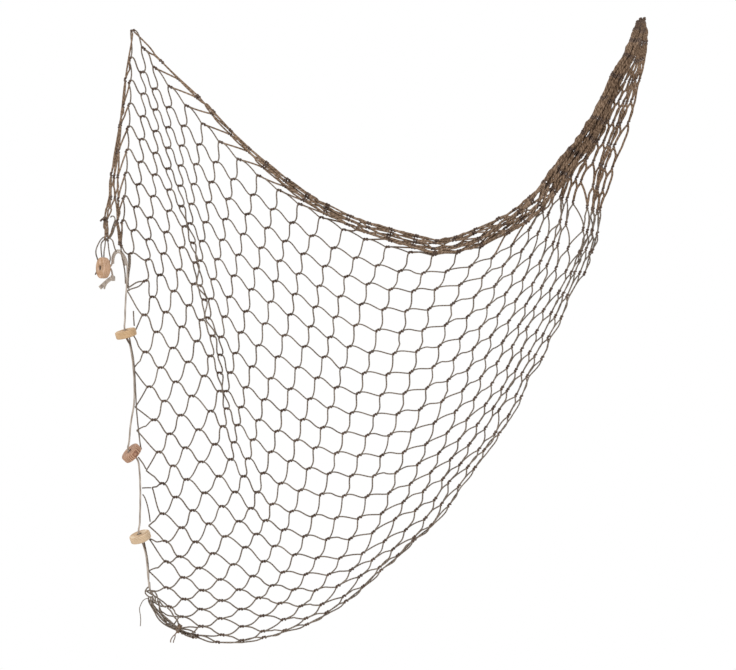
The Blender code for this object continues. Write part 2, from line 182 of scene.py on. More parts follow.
def thin_plate(points, values):
    """A smooth surface through scattered points, bent as little as it can be."""
    points = np.array(points, float)
    values = np.array(values, float)

    def bend(apart):
        return apart ** 2 * np.log(np.maximum(apart, 1e-9))

    flat = np.c_[np.ones(len(points)), points]
    apart = np.linalg.norm(points[:, None] - points[None], axis=2)
    system = np.block([[bend(apart), flat], [flat.T, np.zeros((3, 3))]])
    weights = np.linalg.solve(system, np.r_[values, np.zeros((3, values.shape[1]))])
    return lambda spot: np.r_[bend(np.linalg.norm(points - spot, axis=1)), 1, spot] @ weights


def table_rows(table):
    """The (across, down) places of a table of knots, and the values beside them."""
    rows = [(across, *row) for across, column in table.items() for row in column]
    return [row[:2] for row in rows], [row[2:] for row in rows]


photo_place = thin_plate(*table_rows(KNOTS_READ))
off_wall_at = thin_plate(*table_rows(OFF_WALL_READ))


def hung(across, down):
    """Where a knot of the open meshes hangs: mm right, mm up, mm off the wall."""
    spot = np.array((across, down), float)
    return np.array([*from_photo(*photo_place(spot)), off_wall_at(spot)[0]])


print("knots read:", sum(len(column) for column in KNOTS_READ.values()))

# %% [markdown]
# ## Which knots there are
#
# The netting is a rectangle whose sides run across the meshes, so it is counted in rows and files:
# a row joins the knots that hang at one height when the meshes are drawn shut, and the files run
# from the top edge to the foot. One bar across adds one to both, and one bar down adds one to the
# file and takes one from the row.

# %% Rows and files
FIRST_ROW = 8  # the row of the left hanging point
LAST_ROW = 40
LAST_FILE = 39
# From this row on, three more of the outer files can be told apart
WIDER_FROM_ROW = 27
WIDER_LAST_FILE = 42
# From these rows on, the meshes hang in a bundle, and its bars are pulled straight
BUNDLE_ROW = 31
STRAIGHT_ROW = 36


def row_of(across, down):
    return FIRST_ROW + across - down


def lattice(row, file):
    """The knot at a row and a file, as bars across and bars down."""
    return (row - FIRST_ROW + file) // 2, (file - row + FIRST_ROW) // 2


def last_file(row):
    """The file of a row's last knot, before the loop at its selvedge."""
    last = LAST_FILE if row < WIDER_FROM_ROW else WIDER_LAST_FILE
    return last - (last - row) % 2


def fold_down(row):
    """Bars down of the first knot of a row that hangs free below the swag."""
    return 0 if row <= 26 else 1 if row <= 29 else 2


def is_free(spot):
    """Whether a knot hangs free, below the swag and right of the tail."""
    across, down = spot
    row = row_of(across, down)
    return across >= 0 and down >= (fold_down(row) if row > FIRST_ROW else 0)


# %% [markdown]
# ## The gathered parts
#
# In the swag and in the tail at the left, the meshes are drawn shut and the rows lie heaped on
# each other. The swag follows a smooth curve between the two hanging points. Each row crosses it
# level with its first free knot, and the row's other knots go back and forth over the swag's width
# from the wall outwards, as a curtain does in its folds.

# %% Routes of the gathered parts
# Columns: mm right, mm up, mm off the wall, mm wide, mm deep
SWAG = [
    (0, 1, 6, 6, 5), (34, -35, 8, 8, 6), (90, -97, 9, 9, 7), (161, -167, 11, 10, 9),
    (233, -242, 13, 15, 13), (306, -309, 15, 21, 17), (391, -368, 16, 24, 20),
    (479, -409, 17, 26, 24), (575, -438, 18, 31, 26), (614, -451, 18, 32, 27),
    (647, -455, 19, 34, 28), (680, -449, 20, 38, 29), (711, -440, 20, 40, 30),
    (791, -403, 21, 42, 32), (846, -362, 21, 41, 32), (890, -308, 21, 38, 32),
    (930, -252, 20, 33, 30), (960, -214, 20, 33, 28), (984, -170, 19, 29, 26),
    (1002, -130, 18, 27, 24), (1020, -90, 17, 27, 24), (1041, -55, 16, 25, 22),
    (1055, -18, 14, 22, 20), (1064, 10, 11, 18, 14), (1067, 22, 8, 9, 8),
]
# Columns: row, photo x of its leftmost and rightmost knot, photo y, mm off the wall
TAIL = [
    (6, 125.6, 126.6, 82, 9), (5, 122.5, 124, 105, 10), (4, 119.5, 121.5, 127, 11),
    (3, 115.4, 119, 152, 13), (2, 112, 118.5, 175, 15), (1, 110, 119, 197, 18),
    (0, 108, 119.5, 220, 21), (-1, 106, 120.5, 239, 24),
]
SWAG_STEPS = 400
SWAG_HEM = 2  # mm that its knots keep inside its width
SWAG_FILLED = 0.8  # the share of its depth that they take up
KNOTS_TO_A_FOLD = 6
LOOK_ALONG = 3  # steps each way that set its direction
# How far knots stray: in the swag, mm over it, along it and off the wall; in the tail, photo
# pixels across and mm off the wall
SWAG_STRAY, SWAG_SLIP, SWAG_LIFT = 0.6, 4, 1.2
TAIL_STRAY, TAIL_LIFT = 0.3, 1.5
SMOOTHING_STEPS = 12


def smooth_rows(rows, count):
    """Rows spread evenly by length along a smooth curve through the given rows."""
    rows = [np.array(row, float) for row in rows]
    ends = [2 * rows[0] - rows[1]] + rows + [2 * rows[-1] - rows[-2]]
    fine = []
    for before, start, end, after in zip(ends, ends[1:], ends[2:], ends[3:]):
        for step in range(SMOOTHING_STEPS):
            t = step / SMOOTHING_STEPS
            fine.append(0.5 * (2 * start + (end - before) * t
                               + (2 * before - 5 * start + 4 * end - after) * t ** 2
                               + (3 * start - before - 3 * end + after) * t ** 3))
    fine = np.array(fine + [rows[-1]])
    run = np.r_[0, np.cumsum(np.linalg.norm(np.diff(fine[:, :3], axis=0), axis=1))]
    return np.array([np.interp(np.linspace(0, run[-1], count), run, column) for column in fine.T]).T


swag_path = smooth_rows(SWAG, SWAG_STEPS)


def swag_station(row):
    """The step of the swag's path where a row of the net crosses it."""
    down = fold_down(row)
    free = hung(row - FIRST_ROW + down, down)
    return int(np.argmin(np.linalg.norm(swag_path[:, :2] - free[:2], axis=1)))


def heaped(row, share, folds):
    """A place in the swag: share goes from the fold at its lower edge to the net's top edge."""
    step = min(swag_station(row), SWAG_STEPS - 1 - LOOK_ALONG)
    right, up, off_wall, wide, deep = swag_path[step]
    along = swag_path[step + LOOK_ALONG][:2] - swag_path[max(step - LOOK_ALONG, 0)][:2]
    along /= np.linalg.norm(along)
    upper = np.array((-along[1], along[0]))
    over = -math.cos(math.pi * share * folds) * (wide / 2 - SWAG_HEM) + draw.gauss(0, SWAG_STRAY)
    slip = draw.uniform(-SWAG_SLIP, SWAG_SLIP)
    right, up = np.array((right, up)) + upper * over + along * slip
    return np.array([right, up, off_wall + deep * SWAG_FILLED * (share - 0.5) + draw.gauss(0, SWAG_LIFT)])


def swag_row(row):
    """The gathered knots of a row of the swag, and the loop at its top edge."""
    first = fold_down(row) - 1
    last = -((row - FIRST_ROW) // 2)
    count = first - last + 1
    folds = 1 + count / KNOTS_TO_A_FOLD
    knots = {}
    for number, down in enumerate(range(first, last - 1, -1)):
        knots[(row - FIRST_ROW + down, down)] = heaped(row, (number + 0.5) / count, folds)
    if row % 2:
        down = last - 1
        knots[(row - FIRST_ROW + down, down)] = heaped(row, 1.0, folds)
    return knots


# The last rows of the tail part into two groups. Columns: photo x of the left group, from and to,
# of the right group, from and to, and photo y of the right group
TAIL_FORK = {0: (105.5, 109.5, 118, 121.5, 222), -1: (106.5, 108.5, 121, 124, 244)}


def tail_row(row, left, right, y, off_wall):
    """The gathered knots of a row of the tail, and the loop at its left edge."""
    knots = {}
    files = range(-1 if row % 2 else 0, FIRST_ROW - row - 1, 2)
    for file in files:
        share = max(0, file) / max(1, FIRST_ROW - 2 - row)
        x, here, loose = left + (right - left) * share, y, 3
        if row in TAIL_FORK:
            near, far = TAIL_FORK[row][:2] if share < 0.5 else TAIL_FORK[row][2:4]
            x = near + (far - near) * (share * 2 % 1)
            here = y if share < 0.5 else TAIL_FORK[row][4]
            loose = 1
        spot = from_photo(x + draw.gauss(0, TAIL_STRAY), here + draw.uniform(-loose, loose))
        knots[lattice(row, file)] = np.array([*spot, off_wall + draw.gauss(0, TAIL_LIFT)])
    return knots


# %% All the knots
# The last loops of the float side, where the float line holds them. Columns: photo x, photo y
LINE_LOOPS = [
    (121.7, 246), (128.5, 288), (128, 291), (134, 335), (134, 369), (136, 407), (137.5, 430),
    (147, 470), (153, 487), (149.5, 525), (150, 538), (149.5, 570), (147, 590), (150, 599),
    (168, 618), (180, 628),
]
LINE_OFF_WALL = 19.5  # mm
# The last knots at the foot are drawn towards the lashing. Columns: photo x, photo y
FOOT_KNOTS = {(15, 23): (180, 629.5), (16, 22): (197.1, 634.5), (16, 23): (195, 636.3),
              (17, 22): (218.1, 641.2)}
FOOT_OFF_WALL = 17
# How far the loops of the other selvedge stand out, in mm: at least, at most, and at most in the
# rows where they hang open
LOOP_LEAST, LOOP_MOST, LOOP_OPEN = 2, 5, 9
OPEN_LOOP_ROWS = range(18, 23)

net = {}
for row in range(FIRST_ROW + 1, LAST_ROW + 1):
    net.update(swag_row(row))
for values in TAIL:
    net.update(tail_row(*values))
for row in range(0, LAST_ROW + 1):
    for file in range(row % 2, last_file(row) + 1, 2):
        spot = lattice(row, file)
        if is_free(spot):
            net[spot] = hung(*spot)
net[(0, 0)] = np.array([0, 0, 7.0])
for spot, (x, y) in FOOT_KNOTS.items():
    net[spot] = np.array([*from_photo(x, y), FOOT_OFF_WALL])
edge_loops = {}
for across, (x, y) in enumerate(LINE_LOOPS):
    edge_loops[(across, across + FIRST_ROW + 1)] = np.array([*from_photo(x, y), LINE_OFF_WALL])
for row in range(2, LAST_ROW):
    last = LAST_FILE if row < WIDER_FROM_ROW else WIDER_LAST_FILE
    if last_file(row) == last or row == WIDER_FROM_ROW:
        continue
    before = net[lattice(row - 1, last)]
    after = net[lattice(row + 1, last)]
    along = (after - before)[:2] / np.linalg.norm((after - before)[:2])
    loop = net[lattice(row, last - 1)] if row < WIDER_FROM_ROW else (before + after) / 2
    out = draw.uniform(LOOP_LEAST, LOOP_OPEN if row in OPEN_LOOP_ROWS else LOOP_MOST)
    edge_loops[lattice(row, last + 1)] = loop + np.array((along[1], -along[0], 0)) * out
net.update(edge_loops)
edge_loops.update({spot: net[spot] for spot in net if sum(spot) == -1})
net[(-1, 0)] = edge_loops[(-1, 0)] = np.array([*from_photo(128.6, 59.5), 8])
print("knots and loops:", len(net))

# %% [markdown]
# ## Twine as a material
#
# The netting is dyed cotton twine of three strands twisted together: matt and brown. The raised
# strands are drawn lighter, partly where the fibres have rubbed and partly as painted highlight,
# and the grooves between the strands are darkened with painted shade. Every strand's mesh carries a
# UV map with the millimetres along it, and the grooves are drawn from that map. Such a twine has a
# lay of about 7 mm; it is drawn at 10 mm, because a shorter one would not show from a step away.

# %% Helpers for materials
def linear(colour):
    """An sRGB hex colour as linear red, green and blue, and 1."""
    parts = [int(colour[start:start + 2], 16) / 255 for start in (1, 3, 5)]
    return (*(part / 12.92 if part <= 0.04045 else ((part + 0.055) / 1.055) ** 2.4 for part in parts), 1)


def set_inputs(node, inputs):
    """Set a node's inputs; each is a constant or another node's socket."""
    for socket, value in inputs.items():
        if isinstance(value, bpy.types.NodeSocket):
            node.id_data.links.new(value, node.inputs[socket])
        else:
            node.inputs[socket].default_value = value


def add(tree, kind, inputs=None, **settings):
    """Add a shader node of a kind, with its settings and inputs."""
    new = tree.nodes.new("ShaderNode" + kind)
    for name, value in settings.items():
        setattr(new, name, value)
    set_inputs(new, inputs or {})
    return new


def combine(tree, operation, *values):
    """The result of a math node on constants and sockets."""
    return add(tree, "Math", dict(enumerate(values)), operation=operation).outputs[0]


def colour_ramp(tree, share, first, middle, last):
    """The colour that a ramp gives a share; each stop is a position and a hex colour."""
    ramp = add(tree, "ValToRGB", {"Fac": share})
    elements = ramp.color_ramp.elements
    for number, (position, colour) in enumerate((first, last)):
        elements[number].color = linear(colour)
        elements[number].position = position
    elements.new(middle[0]).color = linear(middle[1])
    return ramp.outputs["Color"]


def new_material(name):
    """A material, its node tree and its shader."""
    material = bpy.data.materials.new(name)
    material.use_nodes = True
    return material, material.node_tree, material.node_tree.nodes["Principled BSDF"]


# %% Twine
PLIES = 3


def twisted_twine(name, groove_shade, middle, worn_and_highlight, lay=10, roughness=0.85):
    """Twisted plies along a strand, with painted shade in the grooves and the raised plies lighter, partly
    rubbed wear and partly painted highlight; the three colours are hex, lay is in mm.
    """
    material, tree, shader = new_material(name)
    split = add(tree, "SeparateXYZ", {0: add(tree, "UVMap").outputs[0]})
    turns = combine(tree, 'MULTIPLY', split.outputs["X"], PLIES / lay)
    round_it = combine(tree, 'MULTIPLY_ADD', split.outputs["Y"], PLIES, turns)
    ply = combine(tree, 'PINGPONG', round_it, 1.0)
    where = add(tree, "TexCoord").outputs["Object"]
    dye = add(tree, "TexNoise", {"Vector": where, "Scale": 32, "Detail": 3, "Roughness": 0.6})
    fibre = add(tree, "TexNoise", {"Vector": where, "Scale": 1400, "Detail": 2})
    raised = combine(tree, 'MULTIPLY', ply, fibre.outputs["Fac"])
    shade = combine(tree, 'MULTIPLY_ADD', dye.outputs["Fac"], 0.9, raised)
    bump = add(tree, "Bump", {"Height": ply, "Strength": 0.8, "Distance": 0.5 * MM})
    # The ramp paints shade into the grooves between the plies, and paints the raised plies lighter: partly
    # rubbed wear, partly painted highlight
    set_inputs(shader, {"Base Color": colour_ramp(tree, shade, (0.25, groove_shade), (0.65, middle), (1.0, worn_and_highlight)),
                        "Roughness": roughness, "Specular IOR Level": 0.12, "Normal": bump.outputs[0]})
    return material


brown_twine = twisted_twine("cotton_twine_brown", "#433932", "#766A5F", "#998C7F")
# The gathered parts look browner, and the bundle is darker still: its darker copy of the twine is painted
# shade between the heaped strands
gathered_twine = twisted_twine("cotton_twine_gathered", "#44342A", "#7B6653", "#A58D79")
bundle_shaded_twine = twisted_twine("cotton_twine_bundle_shaded", "#3D2D22", "#725C49", "#9A826D")
# Inside a knot the twine is drawn in a darker copy: painted shade for the shade of the knot's own turns
painted_shade_twine = twisted_twine("cotton_twine_knot_shaded", "#382B24", "#5E4D43", "#827063")
# The line is undyed hemp: beige, a little smoother, with a longer lay
float_line_twist = twisted_twine("hemp_line_beige", "#7F7267", "#AB9E92", "#CABFB4", 14, 0.8)
print("twines:", *(twine.name for twine in (brown_twine, gathered_twine, bundle_shaded_twine, painted_shade_twine,
                                            float_line_twist)))

# %% [markdown]
# ## Twine between the knots
#
# A bar is 50 mm of stiff twine. A bar going across leaves the right side of its knot and comes
# into the left side of the next; a bar going down leaves the left side and comes into the right
# side of the knot below. So each bar is a curve whose direction at each end lies between its
# knot's side and the straight way to the other knot. Its swing is found by halving, until the
# curve is 2 to 3 per cent longer than the straight way, as in the photograph. Part of the twine
# left over bows out towards the room. So a bar of the open meshes is drawn 50 mm long on average,
# and a few mm more or less each. In the gathered parts the bars are drawn almost straight.

# %% The way each knot lies
KNOT_HALF = 4.2  # mm from a knot's middle to where the bars leave it
DOWN_SHARE = 0.9  # how far the bars below and above turn a knot


def unit(vector):
    length = np.linalg.norm(vector)
    return vector / length if length > 1e-9 else vector * 0


def knot_side(across, down):
    """The direction from a knot's left side to its right side."""
    here = net[(across, down)]
    side = np.zeros(3)
    for step_across, step_down, share in ((1, 0, 1), (-1, 0, -1), (0, -1, DOWN_SHARE), (0, 1, -DOWN_SHARE)):
        other = net.get((across + step_across, down + step_down))
        if other is not None:
            side += unit(other - here) * share
    return unit(side)


sides = {spot: knot_side(*spot) for spot in net}


def turned(vector, degrees):
    """A direction turned in the wall's plane, anticlockwise as seen from the room."""
    angle = math.radians(degrees)
    cos, sin = math.cos(angle), math.sin(angle)
    return np.array((vector[0] * cos - vector[1] * sin, vector[0] * sin + vector[1] * cos, vector[2]))


# %% The bars
# How far a knot's side sets the direction of a bar, and by how many degrees the bar turns from it
LEAVES_ACROSS, COMES_ACROSS = (0.5, 4), (0.5, -42)
LEAVES_DOWN, COMES_DOWN = (0.4, 78), (0.5, 0)
# How much longer than its straight way a bar may be as seen from the room
SLACK_ACROSS, SLACK_DOWN, SLACK_DRAWN_OUT = 1.02, 1.03, 1.03
# Together these draw about two thirds of the bow that the twine left over would need
BOW_FORM, BOW_SHARE = 3 / 8, 0.5
LEAST_SWING, LEAST_DRAWN_OUT, MOST_SWING = 0.9, 0.5, 2.6
# How far a bar strays: degrees at a knot where it hangs or is drawn out, and mm of its length
STRAY_HANGING, STRAY_DRAWN_OUT, STRAY_LENGTH = 8, 9, 0.8
BAR_STEPS = 12
HALVINGS = 18


def is_drawn_out(start, end):
    """Whether a bar lies in the gathered parts or high in the bundle, where it is pulled straight."""
    return not (is_free(start) and is_free(end)) or max(row_of(*start), row_of(*end)) >= STRAIGHT_ROW


def bar_ends(start, end, going_across):
    """The two end points of a bar and the twine's direction at each."""
    side = 1 if going_across else -1
    leaves, comes = (LEAVES_ACROSS, COMES_ACROSS) if going_across else (LEAVES_DOWN, COMES_DOWN)
    straight = unit(net[end] - net[start])
    ends = []
    for spot, sign, (share, turn) in ((start, 1, leaves), (end, -1, comes)):
        if spot in edge_loops:
            ends.append((net[spot], straight))
        elif is_drawn_out(start, end):
            way = turned(straight, draw.gauss(0, STRAY_DRAWN_OUT))
            ends.append((net[spot] + straight * sign * KNOT_HALF, way))
        else:
            from_side = turned(sides[spot] * side, turn + draw.gauss(0, STRAY_HANGING))
            way = unit(straight * (1 - share) + from_side * share)
            ends.append((net[spot] + sides[spot] * side * sign * KNOT_HALF, way))
    return ends


def bar_curves(bars):
    """Points along each bar, with the swing that gives it its length as seen from the room."""
    ends = [bar_ends(*bar) for bar in bars]
    starts, ways_out = (np.array([bar[0][part] for bar in ends]) for part in (0, 1))
    stops, ways_in = (np.array([bar[1][part] for bar in ends]) for part in (0, 1))
    chords = np.linalg.norm(stops - starts, axis=1)
    wanted = BAR - 2 * KNOT_HALF + np.array([draw.gauss(0, STRAY_LENGTH) for _ in bars])
    drawn_out = np.array([is_drawn_out(*bar[:2]) for bar in bars])
    slack = np.where([bar[2] for bar in bars], SLACK_ACROSS, SLACK_DOWN)
    slack = np.where(drawn_out, SLACK_DRAWN_OUT, slack)
    seen = np.minimum(wanted, chords * slack)
    bow = np.sqrt(np.maximum(wanted ** 2 - seen ** 2, 0) * BOW_FORM) * BOW_SHARE
    bow = np.where(drawn_out, 0, bow)
    t = np.linspace(0, 1, BAR_STEPS + 1)[None, :, None]
    hermite = (2 * t ** 3 - 3 * t ** 2 + 1, t ** 3 - 2 * t ** 2 + t, 3 * t ** 2 - 2 * t ** 3,
               t ** 3 - t ** 2)

    def curve(swing):
        pull = (swing * chords)[:, None, None]
        return (hermite[0] * starts[:, None] + hermite[1] * pull * ways_out[:, None]
                + hermite[2] * stops[:, None] + hermite[3] * pull * ways_in[:, None])

    least = np.where(drawn_out, LEAST_DRAWN_OUT, LEAST_SWING)
    most = np.full(len(bars), MOST_SWING)
    for _ in range(HALVINGS):
        swing = (least + most) / 2
        lengths = np.linalg.norm(np.diff(curve(swing), axis=1), axis=2).sum(axis=1)
        least = np.where(lengths < seen, swing, least)
        most = np.where(lengths < seen, most, swing)
    points = curve((least + most) / 2)
    points[:, :, 2] += bow[:, None] * np.sin(math.pi * t[:, :, 0])
    return points


bars = []
for (across, down) in net:
    for step_across, step_down in ((1, 0), (0, 1)):
        other = (across + step_across, down + step_down)
        if other in net and not ((across, down) in edge_loops and other in edge_loops):
            bars.append(((across, down), other, step_across == 1))
curves = bar_curves(bars)
print(f"bars: {len(bars)}, which at {BAR} mm each are {len(bars) * BAR * MM:.1f} m of twine")

# %% [markdown]
# ## Strands as meshes
#
# A strand is a curve with a round bevel. Many strands share one curve object, which is then made
# a mesh, so that hundreds of bars are one piece.

# %% Strands
TWINE_RADIUS = 1.6  # mm
GATHERED_RADIUS = 1.9  # drawn thicker, to cover as heaped strands do
BUNDLED_RADIUS = 2.4  # in the bundle each stands for the strands hidden behind it too


def run_length(run):
    return sum(np.linalg.norm(np.subtract(after, before)) for before, after in zip(run, run[1:]))


def stretch_map(mesh, length):
    """Stretch the strands' UV map, which runs from 0 to 1, to their mean length in mm."""
    layer = mesh.uv_layers[0].uv
    flat = np.empty(len(layer) * 2, np.float32)
    layer.foreach_get("vector", flat)
    flat[0::2] *= length
    layer.foreach_set("vector", flat)


def strands(name, runs, radius, material, resolution=1, closed=False):
    """One mesh of round strands along the runs of points, given in mm right, up and off the wall."""
    curve = bpy.data.curves.new(name, 'CURVE')
    curve.dimensions = '3D'
    curve.bevel_depth = radius * MM
    curve.bevel_resolution = resolution
    curve.use_fill_caps = True
    for run in runs:
        spline = curve.splines.new('POLY')
        spline.points.add(len(run) - 1)
        flat = []
        for point in run:
            flat.extend((*place(*point), 1))
        spline.points.foreach_set("co", flat)
        spline.use_cyclic_u = closed
        spline.use_smooth = True
    strand = add_object(name + "_curve", curve)
    evaluated = strand.evaluated_get(bpy.context.evaluated_depsgraph_get())
    mesh = bpy.data.meshes.new_from_object(evaluated)
    mesh.name = name
    bpy.data.objects.remove(strand)
    stretch_map(mesh, np.mean([run_length(run) for run in runs]))
    mesh.materials.append(material)
    mesh.shade_smooth()
    print(name, "triangles:", sum(len(face.vertices) - 2 for face in mesh.polygons))
    return add_object(name, mesh)


def part_of(start, end):
    """The part of the netting that a bar is in."""
    if max(row_of(*start), row_of(*end)) >= BUNDLE_ROW:
        return "bundled"
    return "open" if is_free(start) and is_free(end) else "gathered"


runs_of = {"open": [], "gathered": [], "bundled": []}
for bar, run in zip(bars, curves):
    runs_of[part_of(*bar[:2])].append(run)
netting_open = strands("netting_open_meshes", runs_of["open"], TWINE_RADIUS, brown_twine)
netting_swag = strands("netting_gathered", runs_of["gathered"], GATHERED_RADIUS, gathered_twine)
# The bundle's strands take the darker copy of the twine, which is painted shade
netting_bundle = strands("netting_bundled", runs_of["bundled"], BUNDLED_RADIUS, bundle_shaded_twine)

# %% [markdown]
# ## Knots
#
# The knots of such a net are sheet bends: a bend of one strand with the other wound round it. From
# a step away each is a small hard lump, wider than high. Here it is one closed run of twine, wound
# to and fro three times.

# %% Knots
KNOT_POINTS = 16
KNOT_WIDE, KNOT_HIGH, KNOT_DEEP = 4.1, 1.9, 1.9  # mm, from the middle of the lump


def wound_knot(spot):
    """The run of twine of one knot."""
    side = sides[spot]
    upper = unit(turned(side * (1, 1, 0), 90))
    size = draw.uniform(0.88, 1.15)
    phase = draw.uniform(0, 0.8)
    run = []
    for number in range(KNOT_POINTS):
        angle = math.tau * number / KNOT_POINTS
        run.append(net[spot] + size * (side * KNOT_WIDE * math.sin(angle)
                                       + upper * KNOT_HIGH * math.sin(2 * angle + phase)
                                       + np.array((0, 0, KNOT_DEEP * math.cos(3 * angle)))))
    return run


knot_spots = [spot for spot in net if spot not in edge_loops]
# The knots take the darker copy of the twine, which is painted shade
netting_knots = strands("netting_knots", [wound_knot(spot) for spot in knot_spots], TWINE_RADIUS,
                        painted_shade_twine, closed=True)
print("knots:", len(knot_spots))

# %% [markdown]
# ## Float line
#
# A beige line, a little thicker than the twine, hangs in an arch over the tail. Its short side
# carries the first float and ends in a knot; its long side runs down through the other three
# floats to the foot corner. From the first float on, it keeps the route of its solid.

# %% Route of the float line
LINE_RADIUS = 1.95  # mm
# Columns: name, mm right, mm up, mm off the wall, degrees right of straight down that the bore
# runs, degrees that it turns off the wall
FLOATS = [
    ("float_1", -59, -499, 27, 90, -34),
    ("float_2", -12, -636, 23.5, 14, -10),
    ("float_3", 0, -886, 24, 43, -22),
    ("float_4", 18, -1061, 23.5, 17, -14),
]
BORE_REACH = 11  # mm that the line runs straight each side of a float's middle
LINE_SPACING = 5  # mm from point to point
# Columns: mm right, mm up, mm off the wall
LINE_STRETCHES = [
    [(-42, -491, 20), (-41, -478, 22), (-37, -468, 24), (-30, -462, 25), (-22, -464, 25),
     (-14, -476, 24), (-9, -494, 24), (-10, -528, 23.5), (-13, -572, 23), (-14, -606, 23.5)],
    [(-5, -655, 22), (1, -686, 23.2), (5, -730, 23.2), (5, -780, 23.2), (-2, -825, 23.5),
     (-5, -862, 26)],
    [(14, -906, 21), (17, -935, 23), (18, -975, 23.2), (17, -1030, 24.5)],
    [(25, -1080, 22), (31, -1105, 23.2), (35, -1150, 24), (38, -1172, 24)],
]
# The short end: out of the first float's bore, down to its stopper knot, and its untwisted tail
LINE_END = [(-59, -499, 27), (-46, -499, 22), (-42, -506, 21), (-40, -516, 23), (-39, -522, 25)]
LINE_STUB = [(-39, -520, 27), (-44, -522, 29), (-54, -530, 28), (-66, -541, 27)]
STUB_PLIES = (-2.6, 0, 2.6)  # mm that its plies lie side by side
STUB_ACROSS = np.array((0.61, -0.79, 0))
STUB_RADIUS = 0.87 * LINE_RADIUS
STOPPER_AT, STOPPER_SIZE = (-39, -521, 26), 6
LOOSE_PLY = [(-48, -527, 30), (-53, -534, 29), (-57, -543, 27)]
# The line lies double in its arch over the tail
ARCH_DOUBLE = [(-38.5, -490, 22), (-37.5, -479, 24), (-34.5, -471.5, 26), (-29.5, -466.5, 27),
               (-23, -468, 27), (-17, -478, 25), (-12.5, -494, 24)]


def bore_way(to_right, off_wall):
    """The direction of a float's bore, as mm right, mm up and mm off the wall."""
    right, out = math.radians(to_right), math.radians(off_wall)
    return np.array((math.sin(right) * math.cos(out), -math.cos(right) * math.cos(out), math.sin(out)))


def through(right, up, off_wall, to_right, turned_out):
    """The two points on a float's axis between which the line runs straight."""
    way = bore_way(to_right, turned_out)
    return [np.array((right, up, off_wall)) + way * reach for reach in (-BORE_REACH, BORE_REACH)]


rows = [np.array(FLOATS[0][1:4], float) - 4 * bore_way(*FLOATS[0][4:])]
for number, stretch in enumerate(LINE_STRETCHES):
    rows += through(*FLOATS[number][1:])[1 if number == 0 else 0:]
    rows += [np.array(row, float) for row in stretch]
line_route = smooth_rows(rows, round(run_length(rows) / LINE_SPACING))
stub = smooth_rows(LINE_STUB, 10)
print(f"float line {run_length(line_route) * MM:.2f} m")


def stopper(middle, size, turns=2.5, steps=34):
    """The wound run of a stopper knot, given its middle and size in mm."""
    run = []
    for step in range(steps):
        angle = math.tau * turns * step / steps
        shift = (step / (steps - 1) - 0.5) * size * 1.3
        run.append(np.array(middle) + (math.cos(angle) * size * 0.55, shift + math.sin(angle) * size * 0.3,
                                       math.sin(angle) * size * 0.5))
    return run


line_runs = [line_route, smooth_rows(LINE_END, 12), smooth_rows(ARCH_DOUBLE, 16),
             stopper(STOPPER_AT, STOPPER_SIZE)]
float_line = strands("float_line_twisted", line_runs, LINE_RADIUS, float_line_twist, resolution=3)
# The stub is fatter, because its plies have begun to come apart and lie side by side
stub_runs = [[point + shift * STUB_ACROSS for point in stub] for shift in STUB_PLIES]
stub_runs.append(smooth_rows(LOOSE_PLY, 6))
line_stub = strands("float_line_frayed_end", stub_runs, STUB_RADIUS, float_line_twist, resolution=3)

# %% [markdown]
# ## Floats
#
# Each float is a turned disc of wood: a profile spun round the bore, with rounded rims and
# countersunk bore mouths.

# %% Floats
FLOAT_RADIUS = 22  # mm
FLOAT_HALF = 7.5
FLOAT_BORE = 2.6
MOUTH_RADIUS = 5.4  # the bore's countersunk mouth
MOUTH_DEPTH = 4.5
RIM_ROUNDING = 2.6
RIM_STEPS = 5
FLOAT_SEGMENTS = 96
RIM_ROUGH, OLD_RIM_ROUGH = 0.1, 0.25  # mm


def float_profile():
    """Half of the float's section, from the bore outwards, as (radius, height) in mm."""
    section = [(FLOAT_BORE, 0), (FLOAT_BORE, FLOAT_HALF - MOUTH_DEPTH),
               (MOUTH_RADIUS - 0.6, FLOAT_HALF - 0.8), (MOUTH_RADIUS, FLOAT_HALF - 0.15),
               (MOUTH_RADIUS + 0.9, FLOAT_HALF), (FLOAT_RADIUS * 0.6, FLOAT_HALF)]
    for step in range(RIM_STEPS + 1):
        angle = math.radians(90 * step / RIM_STEPS)
        section.append((FLOAT_RADIUS - RIM_ROUNDING * (1 - math.sin(angle)),
                        FLOAT_HALF - RIM_ROUNDING * (1 - math.cos(angle))))
    section.append((FLOAT_RADIUS + 0.15, 0))
    return section


def float_turn(to_right, turned_out):
    """The rotation that takes +Z to the way of a float's bore."""
    way = bore_way(to_right, turned_out)
    return Vector((way[0], -way[2], way[1])).to_track_quat('Z', 'Y')


